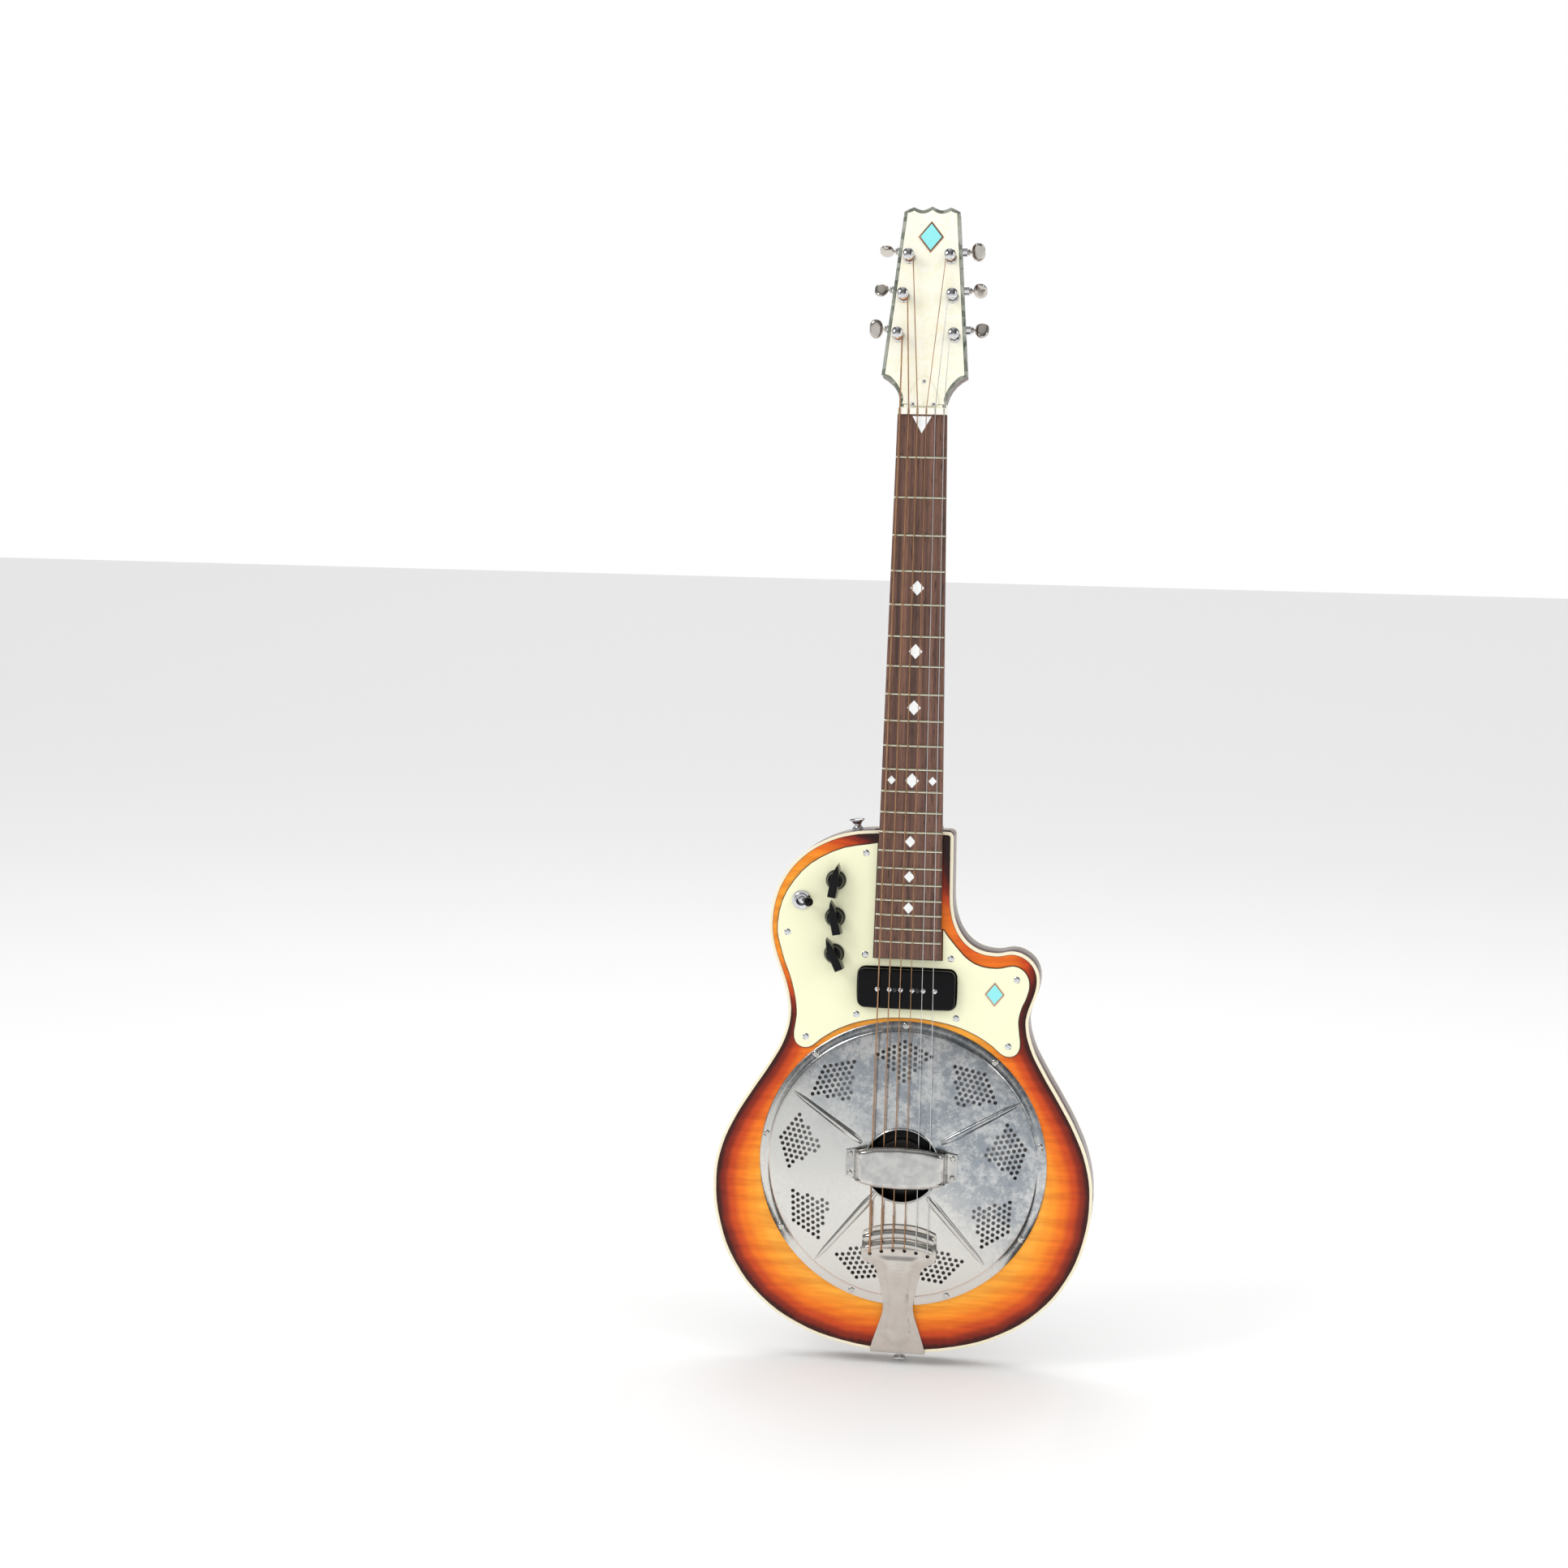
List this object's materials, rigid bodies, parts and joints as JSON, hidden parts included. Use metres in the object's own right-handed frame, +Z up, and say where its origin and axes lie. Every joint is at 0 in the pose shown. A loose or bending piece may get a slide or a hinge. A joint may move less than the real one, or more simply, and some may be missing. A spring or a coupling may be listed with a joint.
{
  "type": "resonator guitar",
  "caption": "Electric resonator guitar with a thin single-cutaway body, a spun cone under a domed metal cover plate, a neck pickup, turning control knobs and geared tuners.",
  "frame": {"origin": "centre of the flat outer end of the tail strap button, in the middle of the body's depth", "axes": "+Z up the neck, along the strings; -Y out of the face and +Y out of the back; +X across the strings towards the cutaway and the thin strings, which is right as seen from the front"},
  "size_m": [0.334, 0.0814, 1.0121],
  "materials": {
    "mahogany_sides": "clear gloss lacquer over dark stained mahogany",
    "mahogany_back": "clear gloss lacquer over dark stained mahogany",
    "mahogany_neck": "clear satin-gloss lacquer over dark stained mahogany",
    "sunburst_top": "gloss sunburst over figured maple, amber in the middle to near black at the edge",
    "cream_binding": "polished cream binding",
    "cream_plastic": "polished cream laminate with a dark ply line at its edge",
    "chrome": "polished",
    "nickel": "polished nickel with a soft satin haze",
    "worn_nickel": "nickel plate clouded by age, polished where hands rub it",
    "rosewood": "oiled, open grained",
    "bone": "polished bone",
    "steel": "plain",
    "black_plastic": "moulded, glossy",
    "pickup_windings": "taped coil with magnets",
    "spun_aluminium": "spun",
    "maple": "bare maple",
    "pearloid": "cream pearl plastic",
    "green_pearl": "grey-green pearl plastic",
    "bronze_winding": "wound phosphor bronze",
    "string_steel": "plain steel wire"
  },
  "bodies": {
    "guitar": {"body_core": "mahogany_sides", "top_plate": "sunburst_top", "back_plate": "mahogany_back", "top_binding": "cream_binding", "back_binding": "cream_binding", "strap_button_tail": "chrome", "strap_button_upper": "chrome", "output_jack": "chrome", "neck": "mahogany_neck", "fingerboard": "rosewood", "nut": "bone", "truss_rod": "steel", "pickup_cover": "black_plastic", "pickup_coil": "pickup_windings", "pickguard": "cream_plastic", "toggle_switch": "chrome", "cover_plate": "worn_nickel", "hand_rest": "nickel", "resonator_cone": "spun_aluminium", "biscuit": "maple", "cone_screw": "steel", "saddle": "maple", "tailpiece": "nickel", "headstock_overlay": "pearloid", "headstock_binding": "green_pearl", "truss_rod_cover": "pearloid", "potentiometer_1": "steel", "potentiometer_2": "steel", "potentiometer_3": "steel", "string_1": "bronze_winding", "string_2": "bronze_winding", "string_3": "bronze_winding", "string_4": "bronze_winding", "string_5": "string_steel", "string_6": "string_steel", "tuner_housing_bass_1": "chrome", "tuner_housing_bass_2": "chrome", "tuner_housing_bass_3": "chrome", "tuner_housing_treble_1": "chrome", "tuner_housing_treble_2": "chrome", "tuner_housing_treble_3": "chrome"},
    "control_knob_1": {"control_knob_1": "black_plastic"},
    "control_knob_2": {"control_knob_2": "black_plastic"},
    "control_knob_3": {"control_knob_3": "black_plastic"},
    "toggle_lever": {"toggle_lever": "black_plastic"},
    "tuner_button_bass_1": {"tuner_button_bass_1": "nickel"},
    "tuner_post_bass_1": {"tuner_post_bass_1": "chrome"},
    "tuner_button_bass_2": {"tuner_button_bass_2": "nickel"},
    "tuner_post_bass_2": {"tuner_post_bass_2": "chrome"},
    "tuner_button_bass_3": {"tuner_button_bass_3": "nickel"},
    "tuner_post_bass_3": {"tuner_post_bass_3": "chrome"},
    "tuner_button_treble_1": {"tuner_button_treble_1": "nickel"},
    "tuner_post_treble_1": {"tuner_post_treble_1": "chrome"},
    "tuner_button_treble_2": {"tuner_button_treble_2": "nickel"},
    "tuner_post_treble_2": {"tuner_post_treble_2": "chrome"},
    "tuner_button_treble_3": {"tuner_button_treble_3": "nickel"},
    "tuner_post_treble_3": {"tuner_post_treble_3": "chrome"}
  },
  "joints": [
    {"name": "control_knob_1_turn", "type": "hinge", "parent": "guitar", "child": "control_knob_1", "pos_m": [-0.0643, -0.02, 0.4282], "axis": [0, -1, 0], "range_deg": [-135, 155]},
    {"name": "control_knob_2_turn", "type": "hinge", "parent": "guitar", "child": "control_knob_2", "pos_m": [-0.0643, -0.02, 0.3957], "axis": [0, -1, 0], "range_deg": [-157, 133]},
    {"name": "control_knob_3_turn", "type": "hinge", "parent": "guitar", "child": "control_knob_3", "pos_m": [-0.0643, -0.02, 0.3636], "axis": [0, -1, 0], "range_deg": [-169, 121]},
    {"name": "toggle_lever_tilt", "type": "hinge", "parent": "guitar", "child": "toggle_lever", "pos_m": [-0.0944, -0.019, 0.4094], "axis": [0, 0, 1], "range_deg": [-48, 0]},
    {"name": "tuner_button_bass_1_turn", "type": "hinge", "parent": "guitar", "child": "tuner_button_bass_1", "pos_m": [-0.04605, 0.01191, 0.90667], "axis": [1, 0, 0], "continuous": true},
    {"name": "tuner_post_bass_1_turn", "type": "hinge", "parent": "guitar", "child": "tuner_post_bass_1", "pos_m": [-0.02405, -0.00965, 0.89949], "axis": [0, -0.9781, 0.2079], "continuous": true},
    {"name": "tuner_button_bass_2_turn", "type": "hinge", "parent": "guitar", "child": "tuner_button_bass_2", "pos_m": [-0.0431, 0.01917, 0.9408], "axis": [1, 0, 0], "continuous": true},
    {"name": "tuner_post_bass_2_turn", "type": "hinge", "parent": "guitar", "child": "tuner_post_bass_2", "pos_m": [-0.0211, -0.0024, 0.93363], "axis": [0, -0.9781, 0.2079], "continuous": true},
    {"name": "tuner_button_bass_3_turn", "type": "hinge", "parent": "guitar", "child": "tuner_button_bass_3", "pos_m": [-0.0399, 0.02636, 0.97465], "axis": [1, 0, 0], "continuous": true},
    {"name": "tuner_post_bass_3_turn", "type": "hinge", "parent": "guitar", "child": "tuner_post_bass_3", "pos_m": [-0.0179, 0.0048, 0.96747], "axis": [0, -0.9781, 0.2079], "continuous": true},
    {"name": "tuner_button_treble_1_turn", "type": "hinge", "parent": "guitar", "child": "tuner_button_treble_1", "pos_m": [0.04605, 0.01191, 0.90667], "axis": [1, 0, 0], "continuous": true},
    {"name": "tuner_post_treble_1_turn", "type": "hinge", "parent": "guitar", "child": "tuner_post_treble_1", "pos_m": [0.02405, -0.00965, 0.89949], "axis": [0, -0.9781, 0.2079], "continuous": true},
    {"name": "tuner_button_treble_2_turn", "type": "hinge", "parent": "guitar", "child": "tuner_button_treble_2", "pos_m": [0.0431, 0.01917, 0.9408], "axis": [1, 0, 0], "continuous": true},
    {"name": "tuner_post_treble_2_turn", "type": "hinge", "parent": "guitar", "child": "tuner_post_treble_2", "pos_m": [0.0211, -0.0024, 0.93363], "axis": [0, -0.9781, 0.2079], "continuous": true},
    {"name": "tuner_button_treble_3_turn", "type": "hinge", "parent": "guitar", "child": "tuner_button_treble_3", "pos_m": [0.0399, 0.02636, 0.97465], "axis": [1, 0, 0], "continuous": true},
    {"name": "tuner_post_treble_3_turn", "type": "hinge", "parent": "guitar", "child": "tuner_post_treble_3", "pos_m": [0.0179, 0.0048, 0.96747], "axis": [0, -0.9781, 0.2079], "continuous": true}
  ],
  "couplings": [
    {"joint": "tuner_post_bass_1_turn", "follows": "tuner_button_bass_1_turn", "ratio": -0.066667},
    {"joint": "tuner_post_bass_2_turn", "follows": "tuner_button_bass_2_turn", "ratio": -0.066667},
    {"joint": "tuner_post_bass_3_turn", "follows": "tuner_button_bass_3_turn", "ratio": -0.066667},
    {"joint": "tuner_post_treble_1_turn", "follows": "tuner_button_treble_1_turn", "ratio": 0.066667},
    {"joint": "tuner_post_treble_2_turn", "follows": "tuner_button_treble_2_turn", "ratio": 0.066667},
    {"joint": "tuner_post_treble_3_turn", "follows": "tuner_button_treble_3_turn", "ratio": 0.066667}
  ]
}
